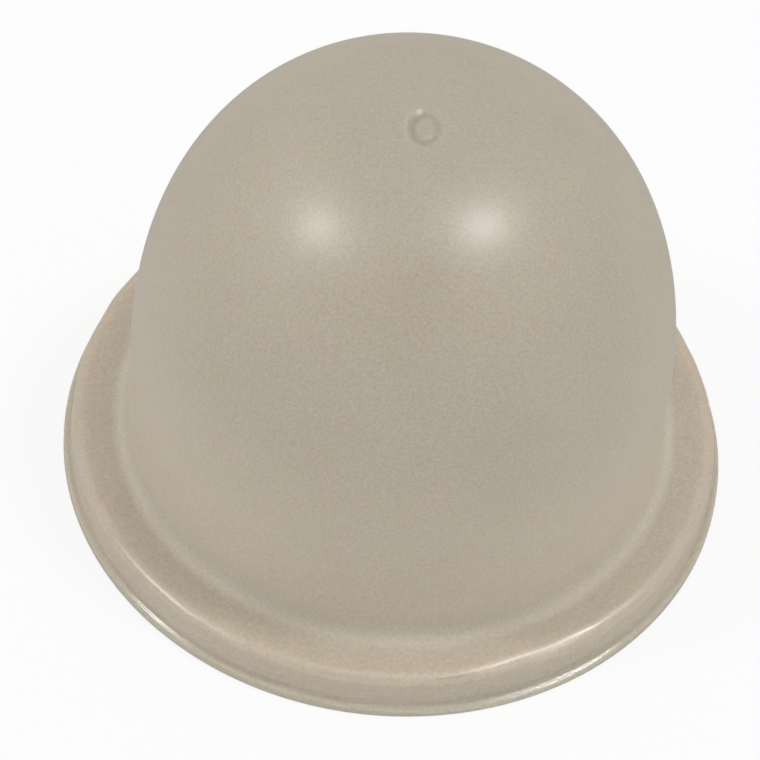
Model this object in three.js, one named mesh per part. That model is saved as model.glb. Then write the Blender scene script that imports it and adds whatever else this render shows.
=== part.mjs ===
// A primer bulb: a thin springy dome on a round flange, moulded in one piece and open underneath.
// Lengths are millimetres. The origin is the centre of the flange's underside, and +Z is the bulb's axis.
import * as THREE from 'three';

// The flange. Its side leans in from the lower edge to the mould's parting line, and more from there up.
const flangeDiameter = 22.2; // across the lower edge, before that is rounded
const flangeThickness = 1.55;
const partingHeight = 0.57; // from the underside to the parting line
const lowerLean = 0.055; // how far in the parting line lies from the lower edge
const upperLean = 0.245; // how far in the upper edge lies from the parting line
const lowerEdgeRounding = 0.08;
const upperEdgeRounding = 0.12;

// The dome
const domeDiameter = 17.9;
const wallRise = 3.5; // the upright foot of the dome, from the flange's top
const crownRise = 11.2; // from the upright foot to the top
const crownFullness = 2.34; // 2 gives an ellipse, and more gives squarer shoulders
const footFillet = 0.63;

// The hollow
const wallThickness = 1;
const mouthRounding = 0.25;

// The gate mark, a shallow dish at the top
const gateMarkDiameter = 1.2;
const gateMarkDepth = 0.12;

// How finely round shapes are cut up
const stepsAround = 64;
const crownSteps = 15;
const filletSteps = 4;
const roundingSteps = 3;
const dishSteps = 4;

const flangeRadius = flangeDiameter / 2;
const domeRadius = domeDiameter / 2;
const hollowRadius = domeRadius - wallThickness;
const crownBase = flangeThickness + wallRise;

// The corners of the section, as radius and height, in the order in which the section runs
const mouth = new THREE.Vector2(hollowRadius, 0);
const lowerEdge = new THREE.Vector2(flangeRadius, 0);
const partingLine = new THREE.Vector2(flangeRadius - lowerLean, partingHeight);
const upperEdge = new THREE.Vector2(partingLine.x - upperLean, flangeThickness);
const foot = new THREE.Vector2(domeRadius, flangeThickness);
const hollowTop = new THREE.Vector2(hollowRadius, crownBase);
const wallTop = new THREE.Vector2(domeRadius, crownBase);

// A corner rounded by an arc that touches both of its sides
function rounded(before, corner, after, radius, steps) {
  const back = before.clone().sub(corner).normalize();
  const ahead = after.clone().sub(corner).normalize();
  const half = Math.acos(back.dot(ahead)) / 2;
  const middle = back.clone().add(ahead).setLength(radius / Math.sin(half));
  const centre = corner.clone().add(middle);
  const start = corner.clone().addScaledVector(back, radius / Math.tan(half));
  const turn = Math.sign(ahead.cross(back)) * (Math.PI - 2 * half);
  const points = [];
  for (let i = 0; i <= steps; i += 1) {
    points.push(start.clone().rotateAround(centre, (turn * i) / steps));
  }
  return points;
}

// The crown is a quarter of a superellipse. This is its height over the upright wall at a given radius.
function crownHeight(radius, baseRadius, rise) {
  return rise * (1 - (radius / baseRadius) ** crownFullness) ** (1 / crownFullness);
}

// Points on the crown, from the top of the upright wall to the circle where it ends, or to the axis
function crown(baseRadius, rise, endRadius) {
  const endAngle = Math.acos((endRadius / baseRadius) ** (crownFullness / 2));
  const points = [];
  for (let i = 0; i < crownSteps; i += 1) {
    const radius = baseRadius * Math.cos((endAngle * i) / crownSteps) ** (2 / crownFullness);
    points.push(new THREE.Vector2(radius, crownBase + crownHeight(radius, baseRadius, rise)));
  }
  points.push(new THREE.Vector2(endRadius, crownBase + crownHeight(endRadius, baseRadius, rise)));
  return points;
}

// The dish of the gate mark, which falls in a smooth wave from its edge to the axis
function gateMark() {
  const points = [];
  for (let i = dishSteps - 1; i >= 0; i -= 1) {
    const share = i / dishSteps;
    const radius = (share * gateMarkDiameter) / 2;
    const sink = (gateMarkDepth * (1 + Math.cos(Math.PI * share))) / 2;
    const height = crownBase + crownHeight(radius, domeRadius, crownRise) - sink;
    points.push(new THREE.Vector2(radius, height));
  }
  return points;
}

// The whole section: down inside the hollow, out under the flange, round its rim and up outside the dome
const section = [
  ...crown(hollowRadius, crownRise - wallThickness, 0).reverse(),
  ...rounded(hollowTop, mouth, lowerEdge, mouthRounding, roundingSteps),
  ...rounded(mouth, lowerEdge, partingLine, lowerEdgeRounding, roundingSteps),
  partingLine,
  ...rounded(partingLine, upperEdge, foot, upperEdgeRounding, roundingSteps),
  ...rounded(upperEdge, foot, wallTop, footFillet, filletSteps),
  ...crown(domeRadius, crownRise, gateMarkDiameter / 2),
  ...gateMark(),
];

const milkyRubber = new THREE.MeshStandardMaterial({ color: 0xb5ab9b, roughness: 0.45, metalness: 0 });
const bulb = new THREE.Mesh(new THREE.LatheGeometry(section, stepsAround), milkyRubber);
bulb.name = 'primer_bulb';
bulb.rotation.x = Math.PI / 2; // a lathe turns about Y, and the bulb stands along Z

const part = new THREE.Group();
part.add(bulb);

export default part;
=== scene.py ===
# A primer bulb of milky rubber, standing on its flange on a pale floor.
import math

import bpy
import numpy as np
from mathutils import Matrix, Vector


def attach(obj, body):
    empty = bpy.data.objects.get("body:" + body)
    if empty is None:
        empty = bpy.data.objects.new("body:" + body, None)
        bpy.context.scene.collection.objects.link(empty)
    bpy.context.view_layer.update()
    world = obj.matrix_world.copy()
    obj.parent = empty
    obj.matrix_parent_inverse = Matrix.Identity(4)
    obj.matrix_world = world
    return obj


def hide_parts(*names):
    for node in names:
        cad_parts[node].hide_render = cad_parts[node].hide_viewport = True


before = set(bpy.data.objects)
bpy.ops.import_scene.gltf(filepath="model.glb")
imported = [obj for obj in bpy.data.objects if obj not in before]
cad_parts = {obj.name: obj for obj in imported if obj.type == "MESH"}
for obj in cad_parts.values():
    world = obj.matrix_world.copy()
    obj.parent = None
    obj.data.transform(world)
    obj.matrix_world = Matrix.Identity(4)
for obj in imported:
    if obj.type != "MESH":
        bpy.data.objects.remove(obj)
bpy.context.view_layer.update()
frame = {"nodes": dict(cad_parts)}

print("frame loaded:", ", ".join(frame["nodes"]))

millimetre = 0.001


# A value inside a node tree. Arithmetic on it adds the Math nodes.
class Wire:
    def __init__(self, tree, socket):
        self.tree = tree
        self.socket = socket

    def join(self, operation, first, second):
        return self.tree.add("ShaderNodeMath", {"operation": operation}, {0: first, 1: second})

    def __add__(self, other):
        return self.join("ADD", self, other)

    def __radd__(self, other):
        return self.join("ADD", other, self)

    def __sub__(self, other):
        return self.join("SUBTRACT", self, other)

    def __rsub__(self, other):
        return self.join("SUBTRACT", other, self)

    def __mul__(self, other):
        return self.join("MULTIPLY", self, other)

    def __rmul__(self, other):
        return self.join("MULTIPLY", other, self)

    def __truediv__(self, other):
        return self.join("DIVIDE", self, other)

    def __pow__(self, other):
        return self.join("POWER", self, other)

    def atLeast(self, other):
        return self.join("MAXIMUM", self, other)


class ShaderTree:
    def __init__(self, owner):
        owner.use_nodes = True
        self.nodes = owner.node_tree.nodes
        self.links = owner.node_tree.links
        self.nodes.clear()

    # settings are put in first, then the values or wires of the sockets
    def add(self, kind, settings=None, values=None, out=0):
        node = self.nodes.new(kind)
        for name, value in (settings or {}).items():
            setattr(node, name, value)
        for name, value in (values or {}).items():
            if isinstance(value, Wire):
                self.links.new(value.socket, node.inputs[name])
            else:
                node.inputs[name].default_value = value
        return Wire(self, node.outputs[out]) if len(node.outputs) else node

    def mixColors(self, factor, first, second):
        return self.add("ShaderNodeMix", {"data_type": "RGBA"}, {0: factor, 6: first, 7: second}, 2)

    # 0 at the first value and 1 at the second, with a soft start and end
    def ease(self, value, start, end):
        return self.add("ShaderNodeMapRange", {"interpolation_type": "SMOOTHSTEP"}, {
            "Value": value, "From Min": start, "From Max": end})

    # 1 at the middle value, and 0 from the reach on either side of it
    def near(self, value, middle, reach):
        away = value.join("ABSOLUTE", value - middle, 0)
        return self.ease(away, reach, 0)


# The bulb's sizes in millimetres, its slopes in degrees
bulbShape = {
    "flangeDiameter": 22.2,  # across the lower edge, before that is rounded
    "flangeThickness": 1.55,
    "upperEdgeInset": 0.3,  # how far in the upper edge lies from the lower edge
    "ledgeHeight": 0.36,  # the outer edge of the narrow ledge that the parting line left round the rim
    "ledgeInset": 0.005,
    "ledgeWidth": 0.195,
    "ledgeSlope": 23,
    "lowerEdgeRounding": 0.05,
    "ledgeRounding": 0.09,
    "partingRounding": 0.16,
    "upperEdgeRounding": 0.25,
    "shoulderRounding": 0.55,  # the flange's top bends down gently before its edge
    "shoulderSlope": 30,
    "shoulderReach": 0,  # how much wider the shoulder's slope is than its edges need
    "shoulderShare": 0.55,  # the part of the upper edge's rounding that lies on the slope
    "domeDiameter": 17.9,
    "wallRise": 3.5,
    "crownRise": 11.2,
    "crownFullness": 2.34,
    "footFillet": 0.63,
    "wallThickness": 1.0,
    "mouthRounding": 0.25,
    # where the rim is uneven: turn from the front towards the right and spread, both in degrees, and
    # how much is added to each of its sizes there
    "uneven": [
        (28, 20, {"ledgeHeight": -0.23, "ledgeWidth": 0.15, "upperEdgeInset": 0.04}),
        (26, 5, {"upperEdgeInset": 0.12}),
        (37, 9, {"shoulderReach": 0.16, "shoulderSlope": -5}),
    ],
    "edgeWave": 0.012,
    "edgeWaves": [(23, 0.4, 1), (37, 1.9, 0.7)],  # how many waves round, their phase and their share
    "gateWidth": 1.05,
    "gateLength": 1.45,
    "gateDepth": 0.03,
    "gateGroove": 0.1,
    "grooveShare": 0.6,  # the share of the groove's depth that is the same all round
    "gateLip": 0.03,
    # where the groove and the lip run and how wide they are, as shares of the oval's radius
    "groovePlace": (0.8, 0.25),
    "lipPlace": (1.25, 0.2),
    # the innermost ring of the hollow, and the radius inside which the dome's rings are close together
    "hollowField": 0.3,
    "gateField": 1.3,
    "stepsAround": 330,
}

# How many steps each stretch of the section has
sectionSteps = {
    "hollow": 56,
    "hollowWall": 10,
    "mouth": 8,
    "underside": 8,
    "lowerEdge": 8,
    "lowerSide": 3,
    "ledgeEdge": 8,
    "ledge": 3,
    "partingLine": 6,
    "upperSide": 6,
    "upperEdge": 10,
    "shoulder": 10,
    "flangeTop": 8,
    "fillet": 18,
    "wall": 10,
    "crown": 84,
    "gate": 30,
}


# A corner between two straight sides, turned into an arc that touches both. The arc's centre lies on
# the line that halves the corner, and each point is the centre plus the radius along a turned arm.
def roundedCorner(before, corner, after, radius, steps):
    back = (before - corner) / np.linalg.norm(before - corner)
    ahead = (after - corner) / np.linalg.norm(after - corner)
    half = math.acos(back @ ahead) / 2
    middle = (back + ahead) / np.linalg.norm(back + ahead)
    centre = corner + middle * radius / math.sin(half)
    arm = corner + back * radius / math.tan(half) - centre
    side = np.sign(ahead[0] * back[1] - ahead[1] * back[0])
    angle = side * (math.pi - 2 * half) * np.linspace(0, 1, steps + 1)
    turned = np.stack([arm[0] * np.cos(angle) - arm[1] * np.sin(angle),
                       arm[0] * np.sin(angle) + arm[1] * np.cos(angle)], axis=1)
    return centre + turned


# The crown is a quarter of a superellipse. Its height over the base is the rise times one minus the
# radius share to the power of the fullness, all to the power of one over the fullness.
def crownHeight(radius, baseRadius, base, rise, fullness):
    return base + rise * (1 - (radius / baseRadius) ** fullness) ** (1 / fullness)


# The same curve by angle, from its base inwards: the radius is the base radius times the cosine of
# the angle to the power of two over the fullness.
def crownCurve(baseRadius, base, rise, fullness, endRadius, steps):
    endAngle = math.acos((endRadius / baseRadius) ** (fullness / 2))
    radius = baseRadius * np.cos(np.linspace(0, endAngle, steps + 1)) ** (2 / fullness)
    return np.stack([radius, crownHeight(radius, baseRadius, base, rise, fullness)], axis=1)


# Points between two ends, without the ends
def straight(start, end, steps):
    return start + (end - start) * np.linspace(0, 1, steps + 2)[1:-1, None]


# The section as radius and height: from the top of the hollow down, out under the flange, round its
# rim and up to the top of the dome
def bulbSection(shape, steps):
    flangeRadius = shape["flangeDiameter"] / 2
    domeRadius = shape["domeDiameter"] / 2
    hollowRadius = domeRadius - shape["wallThickness"]
    crownBase = shape["flangeThickness"] + shape["wallRise"]
    innerRise = shape["crownRise"] - shape["wallThickness"]
    mouth = np.array([hollowRadius, 0])
    lowerEdge = np.array([flangeRadius, 0])
    ledge = np.array([flangeRadius - shape["ledgeInset"], shape["ledgeHeight"]])
    ledgeRise = math.tan(math.radians(shape["ledgeSlope"]))
    parting = ledge + np.array([-1, ledgeRise]) * shape["ledgeWidth"]
    shoulderAngle = math.radians(shape["shoulderSlope"])
    reach = shape["shoulderRounding"] * math.tan(shoulderAngle / 2)
    reach = reach + shape["upperEdgeRounding"] * shape["shoulderShare"] + shape["shoulderReach"]
    slope = np.array([math.cos(shoulderAngle), -math.sin(shoulderAngle)])
    edgeRadius = flangeRadius - shape["upperEdgeInset"]
    shoulder = np.array([edgeRadius - reach * slope[0], shape["flangeThickness"]])
    upperEdge = shoulder + slope * reach
    foot = np.array([domeRadius, shape["flangeThickness"]])
    hollowTop = np.array([hollowRadius, crownBase])
    wallTop = np.array([domeRadius, crownBase])

    fullness = shape["crownFullness"]
    hollowField, gateField = shape["hollowField"], shape["gateField"]
    inner = crownCurve(hollowRadius, crownBase, innerRise, fullness, hollowField, steps["hollow"])[::-1]
    mouthArc = roundedCorner(hollowTop, mouth, lowerEdge, shape["mouthRounding"], steps["mouth"])
    lowerArc = roundedCorner(mouth, lowerEdge, ledge, shape["lowerEdgeRounding"], steps["lowerEdge"])
    ledgeArc = roundedCorner(lowerEdge, ledge, parting, shape["ledgeRounding"], steps["ledgeEdge"])
    partingArc = roundedCorner(ledge, parting, upperEdge, shape["partingRounding"], steps["partingLine"])
    upperArc = roundedCorner(parting, upperEdge, shoulder, shape["upperEdgeRounding"], steps["upperEdge"])
    shoulderArc = roundedCorner(upperEdge, shoulder, foot, shape["shoulderRounding"], steps["shoulder"])
    footArc = roundedCorner(shoulder, foot, wallTop, shape["footFillet"], steps["fillet"])
    outer = crownCurve(domeRadius, crownBase, shape["crownRise"], fullness, gateField, steps["crown"])
    ring = np.linspace(gateField, 0, steps["gate"] + 1)[1:-1]
    top = crownHeight(ring, domeRadius, crownBase, shape["crownRise"], fullness)
    return np.concatenate([
        inner,
        straight(inner[-1], mouthArc[0], steps["hollowWall"]),
        mouthArc,
        straight(mouthArc[-1], lowerArc[0], steps["underside"]),
        lowerArc,
        straight(lowerArc[-1], ledgeArc[0], steps["lowerSide"]),
        ledgeArc,
        straight(ledgeArc[-1], partingArc[0], steps["ledge"]),
        partingArc,
        straight(partingArc[-1], upperArc[0], steps["upperSide"]),
        upperArc,
        shoulderArc,
        straight(shoulderArc[-1], footArc[0], steps["flangeTop"]),
        footArc,
        straight(footArc[-1], outer[0], steps["wall"]),
        outer,
        np.stack([ring, top], axis=1),
    ])


# A smooth bump of height one, e to the power of minus the square of the way from its middle over its
# spread
def bell(value, middle, spread):
    return np.exp(-((value - middle) / spread) ** 2)


# The gate mark's relief: a very shallow oval dish with a groove round it and a low lip on its left. The
# dish follows one minus the square of the oval's own radius, and the groove and lip are bells over it.
def gateRelief(shape, x, y):
    oval = np.hypot(x / (shape["gateWidth"] / 2), y / (shape["gateLength"] / 2))
    left = np.clip(0.5 - x / shape["gateWidth"], 0, 1)
    dish = shape["gateDepth"] * np.clip(1 - oval ** 2, 0, 1)
    evenness = shape["grooveShare"] + (1 - shape["grooveShare"]) * left
    groove = shape["gateGroove"] * bell(oval, *shape["groovePlace"]) * evenness
    lip = shape["gateLip"] * bell(oval, *shape["lipPlace"]) * left ** 2
    return lip - dish - groove


# The sizes of the section at one turn from the front. Each uneven place adds its sizes times a bell
# over the angle, and the upper edge waves by a sum of sines.
def rimAt(shape, turn):
    here = dict(shape)
    for middle, spread, sizes in shape["uneven"]:
        away = (turn - middle + 180) % 360 - 180
        for name, size in sizes.items():
            here[name] += size * bell(away, 0, spread)
    angle = math.radians(turn)
    for waves, phase, share in shape["edgeWaves"]:
        here["upperEdgeInset"] += shape["edgeWave"] * share * math.sin(waves * angle + phase)
    return here


# The section is turned about Z, from the front towards the right: x is the radius times the sine of the
# turn, and y the radius times minus its cosine. The dome's outer top gets the gate mark's relief. Both
# ends are closed by a pole.
def buildBulb(shape):
    around = np.linspace(0, 360, shape["stepsAround"], endpoint=False)
    sections = np.stack([bulbSection(rimAt(shape, turn), sectionSteps) for turn in around], axis=1)
    x = sections[..., 0] * np.sin(np.radians(around))
    y = sections[..., 0] * -np.cos(np.radians(around))
    z = sections[..., 1]
    crownBase = shape["flangeThickness"] + shape["wallRise"]
    hollowPole = crownBase + shape["crownRise"] - shape["wallThickness"]
    topPole = crownBase + shape["crownRise"]
    outside = z > (hollowPole + topPole) / 2
    z = np.where(outside, z + gateRelief(shape, x, y), z)
    grid = np.stack([x, y, z], axis=2).reshape(-1, 3)
    poles = np.array([[0, 0, hollowPole], [0, 0, topPole - shape["gateDepth"]]])
    points = np.concatenate([grid, poles]) * millimetre

    rings, steps = x.shape
    here = np.arange(steps)
    ahead = (here + 1) % steps
    row = (np.arange(rings - 1) * steps)[:, None]
    quads = np.stack([row + here, row + ahead, row + steps + ahead, row + steps + here], axis=2)
    last = (rings - 1) * steps
    hollowFan = np.stack([np.full(steps, rings * steps), ahead, here], axis=1)
    topFan = np.stack([last + here, last + ahead, np.full(steps, rings * steps + 1)], axis=1)
    faces = quads.reshape(-1, 4).tolist() + hollowFan.tolist() + topFan.tolist()
    mesh = bpy.data.meshes.new("bulb")
    mesh.from_pydata(points.tolist(), [], faces)
    mesh.shade_smooth()
    bulb = bpy.data.objects.new("bulb", mesh)
    bpy.context.collection.objects.link(bulb)
    return bulb


rubber = {
    "color": (0.442, 0.388, 0.309, 1),
    "paintedLightColor": (0.56, 0.492, 0.391, 1),  # a lighter colour painted on the foot and flange: painted light that lifts the shade in the crease and on the lower wall
    "wallPaintedLight": 0.25,  # the share of the painted light colour that reaches up the wall
    "grainSize": 0.1,  # millimetres
    "grainStrength": 0.4,
    "grainRelief": 0.01,  # millimetres
    "reliefShown": 0.25,
    "mottleSize": 5,
    "mottleStrength": 0.12,
    "roughness": 0.36,
    "roughnessGrain": 0.06,
    "gloss": 0.8,
    "rimRoughness": 0.32,
    "smoothRoughness": 0.17,
    "ledgeRoughness": 0.16,
    "filletRoughness": 0.62,
    # where each finish begins and is full, in millimetres of radius or of height
    "flangeInside": (8.97, 9.3),
    "flangeOutside": (10.8, 10.4),
    "wallTop": (11, 5),
    "rimInside": (10.3, 10.6),
    "ledgeInside": (10.7, 10.8),
    "ledgeTop": (1, 0.6),
    "filletOutside": (9.9, 9.5),
    "filletTop": (3, 2.3),
    # smooth places along the upper edge: turn from the front towards the right and reach, in degrees
    "smoothPlaces": [(15.5, 6), (26.5, 6), (39.5, 8)],
    "smoothRadius": (10.65, 0.3),
    "smoothFoot": (1.1, 1.3),
    "subsurface": 0.6,
    "subsurfaceDepth": 1.2,  # millimetres
}


def milkyRubber(look):
    material = bpy.data.materials.new("milkyRubber")
    tree = ShaderTree(material)
    place = tree.add("ShaderNodeTexCoord", out="Object")
    x, y, z = [tree.add("ShaderNodeSeparateXYZ", None, {0: place}, axis) / millimetre for axis in "XYZ"]
    radius = (x * x + y * y) ** 0.5
    turn = x.join("ARCTAN2", x, 0 - y) * math.degrees(1)
    grain = tree.add("ShaderNodeTexNoise", None, {
        "Vector": place, "Scale": 1 / (millimetre * look["grainSize"]), "Detail": 1, "Roughness": 0.6})
    mottle = tree.add("ShaderNodeTexNoise", None, {
        "Vector": place, "Scale": 1 / (millimetre * look["mottleSize"]), "Detail": 3, "Roughness": 0.5})

    # Painted light: the flange, the fillet and the lower wall get a lighter colour, which stands in for
    # bounce light from the floor and fills the shade in the crease
    flange = tree.ease(radius, *look["flangeInside"]) * tree.ease(radius, *look["flangeOutside"])
    wall = tree.ease(z, *look["wallTop"]) * look["wallPaintedLight"]
    foot = flange * (1 - look["wallPaintedLight"]) + wall
    body = tree.mixColors(foot, look["color"], look["paintedLightColor"])
    speckle = (grain - 0.5) * look["grainStrength"] + (mottle - 0.5) * look["mottleStrength"]
    color = tree.add("ShaderNodeVectorMath", {"operation": "SCALE"}, {"Vector": body, "Scale": 1 + speckle})

    rim = tree.ease(radius, *look["rimInside"])
    ledge = tree.ease(radius, *look["ledgeInside"]) * tree.ease(z, *look["ledgeTop"])
    fillet = tree.ease(radius, *look["filletOutside"]) * tree.ease(z, *look["filletTop"])
    smooth = tree.near(radius, *look["smoothRadius"]) * tree.ease(z, *look["smoothFoot"])
    places = 0
    for middle, reach in look["smoothPlaces"]:
        places = tree.near(turn, middle, reach) + places
    roughness = look["roughness"] + (grain - 0.5) * look["roughnessGrain"]
    roughness = roughness - rim * (look["roughness"] - look["rimRoughness"])
    roughness = roughness - ledge * (look["rimRoughness"] - look["ledgeRoughness"])
    roughness = roughness - smooth * places * (look["rimRoughness"] - look["smoothRoughness"])
    roughness = roughness + fillet * (look["filletRoughness"] - look["roughness"])
    bump = tree.add("ShaderNodeBump", None, {
        "Strength": look["reliefShown"], "Distance": look["grainRelief"] * millimetre, "Height": grain})
    skin = tree.add("ShaderNodeBsdfPrincipled", {"subsurface_method": "RANDOM_WALK"}, {
        "Base Color": color,
        "Roughness": roughness,
        "Normal": bump,
        "Specular IOR Level": look["gloss"],
        "Subsurface Weight": look["subsurface"],
        "Subsurface Scale": look["subsurfaceDepth"] * millimetre,
        "Subsurface Radius": (1, 0.7, 0.5),
    })
    tree.add("ShaderNodeOutputMaterial", None, {"Surface": skin})
    return material


bulb = buildBulb(bulbShape)
bulb.data.materials.append(milkyRubber(rubber))
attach(bulb, "root")
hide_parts("primer_bulb")
print("bulb made:", len(bulb.data.vertices), "points")


camera = {
    "height": 51.071,  # degrees over the horizon
    "roll": 5.776,  # degrees
    "distance": 0.1554,
    "aside": -0.000619,  # how far right of and above the flange's middle the camera looks
    "above": 0.00124,
    "sensor": 36,
    "imageWidth": 760,  # pixels
    "focalLength": 4618.8,  # pixels
}


studio = {
    "floorSize": 4,  # metres
    "floorGap": 0.00001,
    "floorColor": (0.9, 0.9, 0.9, 1),
    "floorGlow": 0.85,  # how much of the floor is plain white for the camera
    "floorShine": 0.4,  # how bright gloss shows the floor
    "horizonLight": 3.3,
    "overheadLight": 0.85,
    "horizonShine": 0.25,  # how bright gloss shows the horizon; overhead it shows plain white
    "cameraShadow": 1.0,  # how much of the room's light is missing behind the camera
    "cameraFocus": 14,
    "lampTarget": (0, 0, 0.008),
    "lampDistance": 0.4,
    "lampRadius": 0.035,
    # turn from the front towards the right, height in degrees, watts
    "lamps": {"leftLamp": (-83, 52.6, 0.3), "rightLamp": (94, 65.5, 0.38)},
}


# A direction from its turn and height in degrees
def direction(turn, height):
    turn, height = math.radians(turn), math.radians(height)
    return Vector((math.sin(turn) * math.cos(height), -math.cos(turn) * math.cos(height), math.sin(height)))


# The rays from the camera, from gloss and through glass, each one or nothing
def lightRays(tree):
    kinds = "Is Camera Ray", "Is Glossy Ray", "Is Transmission Ray"
    return [tree.add("ShaderNodeLightPath", out=kind) for kind in kinds]


def buildFloor(look):
    half = look["floorSize"] / 2
    low = -look["floorGap"]
    mesh = bpy.data.meshes.new("floor")
    corners = [(-half, -half, low), (half, -half, low), (half, half, low), (-half, half, low)]
    mesh.from_pydata(corners, [], [(0, 1, 2, 3)])
    floor = bpy.data.objects.new("floor", mesh)
    bpy.context.collection.objects.link(floor)
    material = bpy.data.materials.new("paleFloor")
    tree = ShaderTree(material)
    paint = tree.add("ShaderNodeBsdfDiffuse", None, {"Color": look["floorColor"]})
    white = tree.add("ShaderNodeEmission", None, {"Color": (1, 1, 1, 1), "Strength": 1})
    shine = tree.add("ShaderNodeEmission", None, {"Color": (1, 1, 1, 1), "Strength": look["floorShine"]})
    seen, gloss, clear = lightRays(tree)
    glow = seen.atLeast(clear) * look["floorGlow"]
    lit = tree.add("ShaderNodeMixShader", None, {0: glow, 1: paint, 2: white})
    surface = tree.add("ShaderNodeMixShader", None, {0: gloss, 1: lit, 2: shine})
    tree.add("ShaderNodeOutputMaterial", None, {"Surface": surface})
    mesh.materials.append(material)


# The room is lighter overhead and at the horizon than between, and dark where the camera stands
def buildRoom(look):
    world = bpy.data.worlds.new("room")
    bpy.context.scene.world = world
    tree = ShaderTree(world)
    way = tree.add("ShaderNodeTexCoord", out="Generated")
    height = tree.add("ShaderNodeSeparateXYZ", None, {0: way}, "Z").atLeast(0)
    light = (1 - height) ** 3 * look["horizonLight"] + height ** 3 * look["overheadLight"]
    toCamera = tree.add("ShaderNodeVectorMath", {"operation": "DOT_PRODUCT"}, {
        0: way, 1: direction(0, camera["height"])}, "Value")
    shadow = toCamera.atLeast(0) ** look["cameraFocus"] * look["cameraShadow"]
    shine = look["horizonShine"] + height * (1 - look["horizonShine"])
    seen, gloss, clear = lightRays(tree)
    unseen = (gloss * shine + (1 - gloss) * light) * (1 - shadow)
    white = seen.atLeast(clear)
    strength = white + (1 - white) * unseen
    glow = tree.add("ShaderNodeBackground", None, {"Color": (1, 1, 1, 1), "Strength": strength})
    tree.add("ShaderNodeOutputWorld", None, {"Surface": glow})


def buildLamps(look):
    target = Vector(look["lampTarget"])
    for name, (turn, height, watts) in look["lamps"].items():
        data = bpy.data.lights.new(name, "AREA")
        data.shape = "DISK"
        data.size = 2 * look["lampRadius"]
        data.energy = watts
        lamp = bpy.data.objects.new(name, data)
        away = direction(turn, height)
        lamp.location = target + away * look["lampDistance"]
        lamp.rotation_mode = "QUATERNION"
        lamp.rotation_quaternion = away.to_track_quat("Z", "Y")
        bpy.context.collection.objects.link(lamp)


buildFloor(studio)
buildRoom(studio)
buildLamps(studio)
print("studio made")


def buildCamera(look):
    height, roll = math.radians(look["height"]), math.radians(look["roll"])
    back = Vector((0, -math.cos(height), math.sin(height)))
    right = Vector((1, 0, 0))
    up = back.cross(right)
    middle = Vector((0, 0, bulbShape["flangeThickness"] * millimetre))
    data = bpy.data.cameras.new("camera")
    data.sensor_width = look["sensor"]
    data.lens = look["sensor"] * look["focalLength"] / look["imageWidth"]
    data.clip_start = 0.01
    data.clip_end = 20
    eye = bpy.data.objects.new("camera", data)
    across = right * math.cos(roll) + up * math.sin(roll)
    upright = up * math.cos(roll) - right * math.sin(roll)
    turn = Matrix((across, upright, back)).transposed().to_4x4()
    place = middle + right * look["aside"] + up * look["above"] + back * look["distance"]
    eye.matrix_world = Matrix.Translation(place) @ turn
    bpy.context.collection.objects.link(eye)
    bpy.context.scene.camera = eye


buildCamera(camera)
bpy.context.scene.view_settings.view_transform = "Standard"

print("scene ready")
